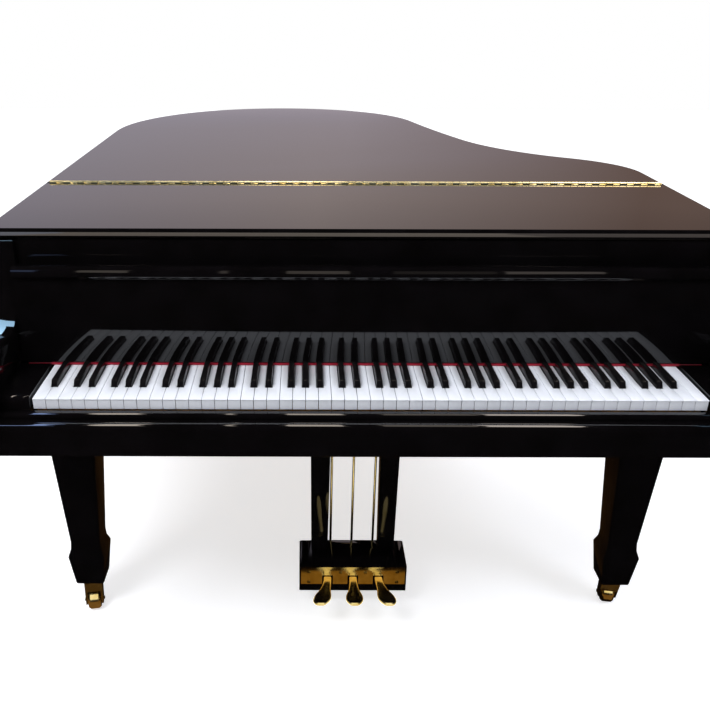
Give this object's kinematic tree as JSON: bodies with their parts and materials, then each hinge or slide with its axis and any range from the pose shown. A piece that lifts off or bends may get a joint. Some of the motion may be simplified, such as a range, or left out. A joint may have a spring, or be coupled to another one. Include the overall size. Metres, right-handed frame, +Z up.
{
  "type": "grand piano",
  "caption": "Closed grand piano in polished black with full keyboard, folding lid, fallboard, pedal lyre and brass casters on tapered spade legs.",
  "frame": {"origin": "on the floor under the middle of the case", "axes": "+Z up, +Y from the keyboard to the tail, +X to the player's right, so the keyboard faces -Y"},
  "size_m": [1.48, 2.09, 1.0035],
  "materials": {
    "ebony_lacquer": "polished black lacquer",
    "spruce": "varnished spruce",
    "maple": "oiled maple",
    "gold_iron": "gold bronze lacquer",
    "brass": "polished",
    "steel": "polished",
    "copper": "copper winding",
    "aluminium": "satin",
    "red_felt": "felt",
    "white_key": "satin white covering",
    "black_key": "satin black"
  },
  "bodies": {
    "case": {"rim": "ebony_lacquer", "back_braces": "spruce", "keybed": "ebony_lacquer", "key_slip": "ebony_lacquer", "cheek_blocks": "ebony_lacquer", "nameboard_felt": "red_felt", "lid_hinge_case_leaves": "brass", "pivot_pins": "steel", "prop_bracket": "brass", "music_tray": "ebony_lacquer", "soundboard": "spruce", "soundboard_ribs": "spruce", "bridges": "maple", "iron_plate": "gold_iron", "pin_block": "maple", "tuning_pins": "steel", "plain_strings": "steel", "wound_strings": "copper", "legs": "ebony_lacquer", "lyre_posts": "ebony_lacquer", "lyre_braces": "brass", "pedal_box": "ebony_lacquer", "pedal_plate": "brass"},
    "lid": {"main_lid": "ebony_lacquer", "lid_hinge_lid_leaves": "brass", "flap_hinge_lid_leaf": "brass", "flap_hinge_pin": "steel"},
    "flap": {"front_flap": "ebony_lacquer", "flap_hinge_flap_leaf": "brass"},
    "prop": {"lid_prop": "ebony_lacquer"},
    "fallboard": {"fallboard": "ebony_lacquer"},
    "desk": {"music_desk": "ebony_lacquer"},
    "action": {"key_frame": "spruce", "action_rails": "aluminium", "hammers": "maple"},
    "dampers": {"dampers": "ebony_lacquer"},
    "keys_c": {"keys_c": "white_key"},
    "keys_c_sharp": {"keys_c_sharp": "black_key"},
    "keys_d": {"keys_d": "white_key"},
    "keys_d_sharp": {"keys_d_sharp": "black_key"},
    "keys_e": {"keys_e": "white_key"},
    "keys_f": {"keys_f": "white_key"},
    "keys_f_sharp": {"keys_f_sharp": "black_key"},
    "keys_g": {"keys_g": "white_key"},
    "keys_g_sharp": {"keys_g_sharp": "black_key"},
    "keys_a": {"keys_a": "white_key"},
    "keys_a_sharp": {"keys_a_sharp": "black_key"},
    "keys_b": {"keys_b": "white_key"},
    "soft_pedal": {"soft_pedal": "brass"},
    "soft_rod": {"soft_rod": "brass"},
    "sostenuto_pedal": {"sostenuto_pedal": "brass"},
    "sostenuto_rod": {"sostenuto_rod": "brass"},
    "sustain_pedal": {"sustain_pedal": "brass"},
    "sustain_rod": {"sustain_rod": "brass"},
    "left_caster": {"left_caster_fork": "brass"},
    "left_wheel": {"left_caster_wheel": "brass"},
    "right_caster": {"right_caster_fork": "brass"},
    "right_wheel": {"right_caster_wheel": "brass"},
    "tail_caster": {"tail_caster_fork": "brass"},
    "tail_wheel": {"tail_caster_wheel": "brass"}
  },
  "joints": [
    {"name": "lid_open", "type": "hinge", "parent": "case", "child": "lid", "pos_m": [-0.7343, 0, 0.9737], "axis": [0, -1, 0], "range_deg": [0, 38]},
    {"name": "flap_fold", "type": "hinge", "parent": "lid", "child": "flap", "pos_m": [0, -0.374, 0.999], "axis": [-1, 0, 0], "range_deg": [0, 180]},
    {"name": "prop_swing", "type": "hinge", "parent": "case", "child": "prop", "pos_m": [0.32517, 0.165, 0.928], "axis": [-0.7792, -0.2457, -0.5767], "range_deg": [0, 60]},
    {"name": "fallboard_close", "type": "hinge", "parent": "case", "child": "fallboard", "pos_m": [0, -0.844, 0.759], "axis": [1, 0, 0], "range_deg": [0, 96]},
    {"name": "desk_tilt", "type": "hinge", "parent": "case", "child": "desk", "pos_m": [0, -0.77, 0.9563], "axis": [1, 0, 0], "range_deg": [0, 66]},
    {"name": "action_shift", "type": "slide", "parent": "case", "child": "action", "axis": [1, 0, 0], "range_m": [0, 0.0025]},
    {"name": "damper_lift", "type": "slide", "parent": "case", "child": "dampers", "axis": [0, 0, 1], "range_m": [0, 0.008]},
    {"name": "key_c", "type": "hinge", "parent": "action", "child": "keys_c", "pos_m": [0, -0.77, 0.7135], "axis": [1, 0, 0], "range_deg": [0, 2.4], "stiffness_Nm_per_rad": 6, "springref_deg": -8.59},
    {"name": "key_c_sharp", "type": "hinge", "parent": "action", "child": "keys_c_sharp", "pos_m": [0, -0.77, 0.7135], "axis": [1, 0, 0], "range_deg": [0, 2.4], "stiffness_Nm_per_rad": 6, "springref_deg": -8.59},
    {"name": "key_d", "type": "hinge", "parent": "action", "child": "keys_d", "pos_m": [0, -0.77, 0.7135], "axis": [1, 0, 0], "range_deg": [0, 2.4], "stiffness_Nm_per_rad": 6, "springref_deg": -8.59},
    {"name": "key_d_sharp", "type": "hinge", "parent": "action", "child": "keys_d_sharp", "pos_m": [0, -0.77, 0.7135], "axis": [1, 0, 0], "range_deg": [0, 2.4], "stiffness_Nm_per_rad": 6, "springref_deg": -8.59},
    {"name": "key_e", "type": "hinge", "parent": "action", "child": "keys_e", "pos_m": [0, -0.77, 0.7135], "axis": [1, 0, 0], "range_deg": [0, 2.4], "stiffness_Nm_per_rad": 6, "springref_deg": -8.59},
    {"name": "key_f", "type": "hinge", "parent": "action", "child": "keys_f", "pos_m": [0, -0.77, 0.7135], "axis": [1, 0, 0], "range_deg": [0, 2.4], "stiffness_Nm_per_rad": 6, "springref_deg": -8.59},
    {"name": "key_f_sharp", "type": "hinge", "parent": "action", "child": "keys_f_sharp", "pos_m": [0, -0.77, 0.7135], "axis": [1, 0, 0], "range_deg": [0, 2.4], "stiffness_Nm_per_rad": 6, "springref_deg": -8.59},
    {"name": "key_g", "type": "hinge", "parent": "action", "child": "keys_g", "pos_m": [0, -0.77, 0.7135], "axis": [1, 0, 0], "range_deg": [0, 2.4], "stiffness_Nm_per_rad": 6, "springref_deg": -8.59},
    {"name": "key_g_sharp", "type": "hinge", "parent": "action", "child": "keys_g_sharp", "pos_m": [0, -0.77, 0.7135], "axis": [1, 0, 0], "range_deg": [0, 2.4], "stiffness_Nm_per_rad": 6, "springref_deg": -8.59},
    {"name": "key_a", "type": "hinge", "parent": "action", "child": "keys_a", "pos_m": [0, -0.77, 0.7135], "axis": [1, 0, 0], "range_deg": [0, 2.4], "stiffness_Nm_per_rad": 6, "springref_deg": -8.59},
    {"name": "key_a_sharp", "type": "hinge", "parent": "action", "child": "keys_a_sharp", "pos_m": [0, -0.77, 0.7135], "axis": [1, 0, 0], "range_deg": [0, 2.4], "stiffness_Nm_per_rad": 6, "springref_deg": -8.59},
    {"name": "key_b", "type": "hinge", "parent": "action", "child": "keys_b", "pos_m": [0, -0.77, 0.7135], "axis": [1, 0, 0], "range_deg": [0, 2.4], "stiffness_Nm_per_rad": 6, "springref_deg": -8.59},
    {"name": "soft_press", "type": "hinge", "parent": "case", "child": "soft_pedal", "pos_m": [-0.062, -0.66, 0.101], "axis": [1, 0, 0], "range_deg": [0, 5.9], "stiffness_Nm_per_rad": 40, "springref_deg": -4.58},
    {"name": "soft_rod_lift", "type": "slide", "parent": "case", "child": "soft_rod", "axis": [0, 0, 1], "range_m": [0, 0.0056]},
    {"name": "sostenuto_press", "type": "hinge", "parent": "case", "child": "sostenuto_pedal", "pos_m": [0, -0.66, 0.101], "axis": [1, 0, 0], "range_deg": [0, 5.9], "stiffness_Nm_per_rad": 40, "springref_deg": -4.58},
    {"name": "sostenuto_rod_lift", "type": "slide", "parent": "case", "child": "sostenuto_rod", "axis": [0, 0, 1], "range_m": [0, 0.0056]},
    {"name": "sustain_press", "type": "hinge", "parent": "case", "child": "sustain_pedal", "pos_m": [0.062, -0.66, 0.101], "axis": [1, 0, 0], "range_deg": [0, 5.9], "stiffness_Nm_per_rad": 40, "springref_deg": -4.58},
    {"name": "sustain_rod_lift", "type": "slide", "parent": "case", "child": "sustain_rod", "axis": [0, 0, 1], "range_m": [0, 0.0056]},
    {"name": "left_caster_swivel", "type": "hinge", "parent": "case", "child": "left_caster", "pos_m": [-0.644, -0.672, 0.1], "axis": [0, 0, 1], "continuous": true},
    {"name": "left_wheel_roll", "type": "hinge", "parent": "left_caster", "child": "left_wheel", "pos_m": [-0.64122, -0.68776, 0.025], "axis": [0.9848, 0.1736, 0], "continuous": true},
    {"name": "right_caster_swivel", "type": "hinge", "parent": "case", "child": "right_caster", "pos_m": [0.644, -0.672, 0.1], "axis": [0, 0, 1], "continuous": true},
    {"name": "right_wheel_roll", "type": "hinge", "parent": "right_caster", "child": "right_wheel", "pos_m": [0.64678, -0.65624, 0.025], "axis": [-0.9848, 0.1736, 0], "continuous": true},
    {"name": "tail_caster_swivel", "type": "hinge", "parent": "case", "child": "tail_caster", "pos_m": [-0.197, 0.715, 0.1], "axis": [0, 0, 1], "continuous": true},
    {"name": "tail_wheel_roll", "type": "hinge", "parent": "tail_caster", "child": "tail_wheel", "pos_m": [-0.20728, 0.70274, 0.025], "axis": [0.766, -0.6428, 0], "continuous": true}
  ],
  "couplings": [
    {"joint": "prop_swing", "follows": "lid_open", "ratio": 1.5789},
    {"joint": "desk_tilt", "follows": "flap_fold", "ratio": 0.36667},
    {"joint": "action_shift", "follows": "soft_press", "m_per_rad": 0.024277},
    {"joint": "damper_lift", "follows": "sustain_press", "m_per_rad": 0.077688},
    {"joint": "soft_rod_lift", "follows": "soft_press", "m_per_rad": 0.053},
    {"joint": "sostenuto_rod_lift", "follows": "sostenuto_press", "m_per_rad": 0.053},
    {"joint": "sustain_rod_lift", "follows": "sustain_press", "m_per_rad": 0.053}
  ]
}
